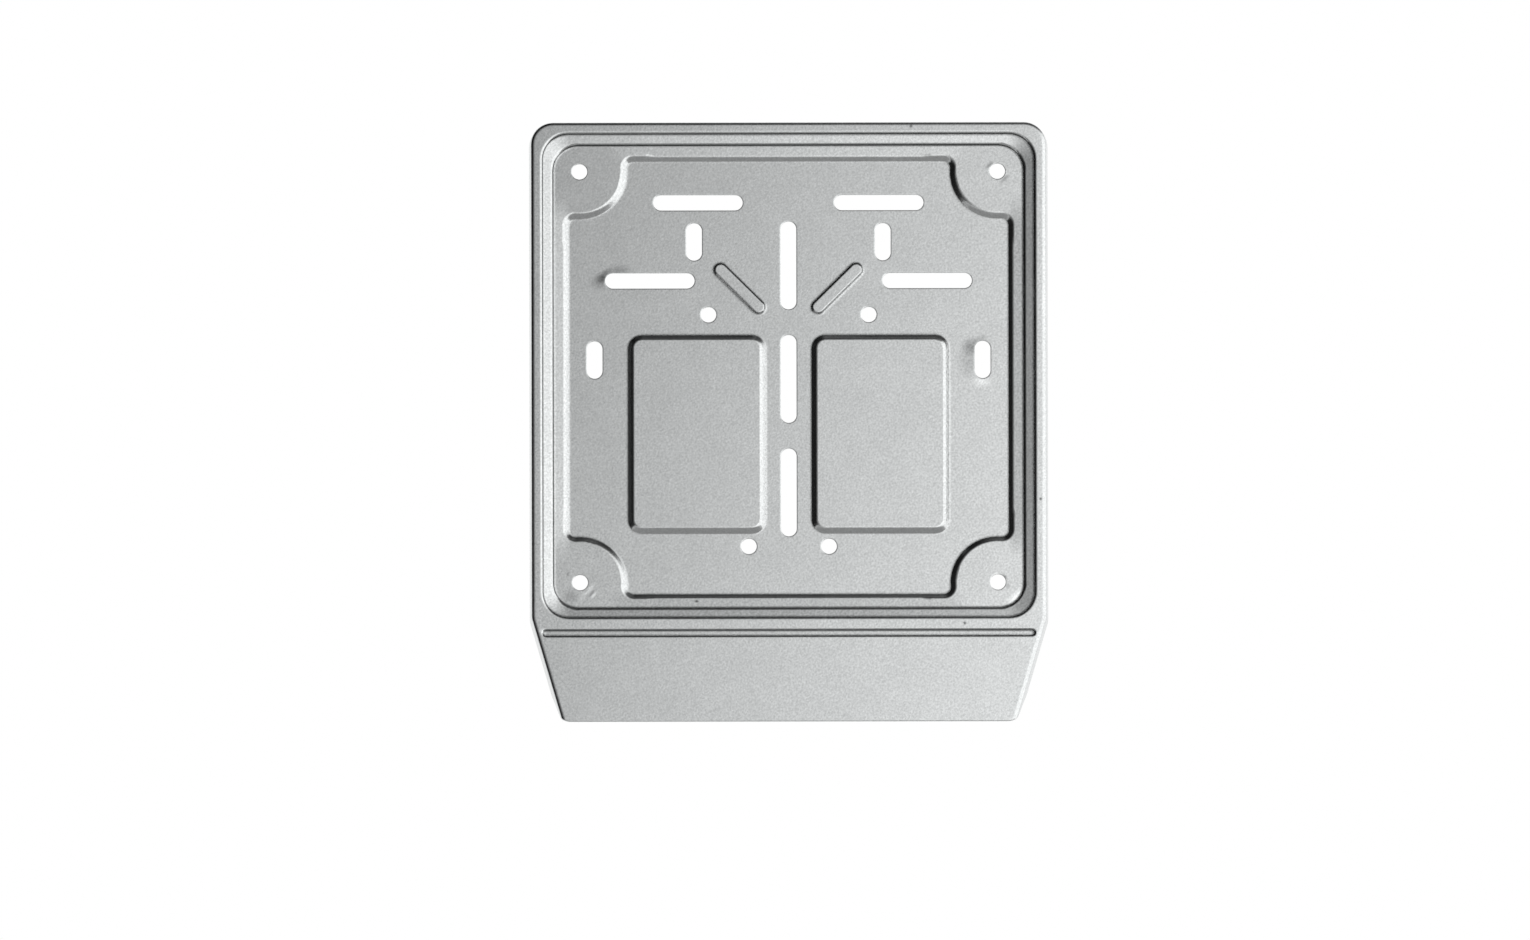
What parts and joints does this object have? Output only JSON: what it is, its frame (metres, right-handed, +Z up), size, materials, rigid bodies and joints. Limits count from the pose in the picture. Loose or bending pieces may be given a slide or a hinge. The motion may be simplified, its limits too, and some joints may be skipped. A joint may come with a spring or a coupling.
{
  "type": "number plate holder",
  "caption": "Pressed sheet-metal holder for a square motorcycle number plate, with a raised rim, a stepped recess, stiffening panels, slots for the bracket and a lower flap.",
  "frame": {"origin": "on the seat that carries the plate, at the centre of the four plate screws", "axes": "+X to the right seen from the plate side, +Z up as mounted, -Y out of the plate side"},
  "size_m": [0.1968, 0.008, 0.232],
  "materials": {
    "painted_sheet": "satin silver"
  },
  "bodies": {
    "root": {"plate_holder": "painted_sheet"}
  },
  "joints": []
}
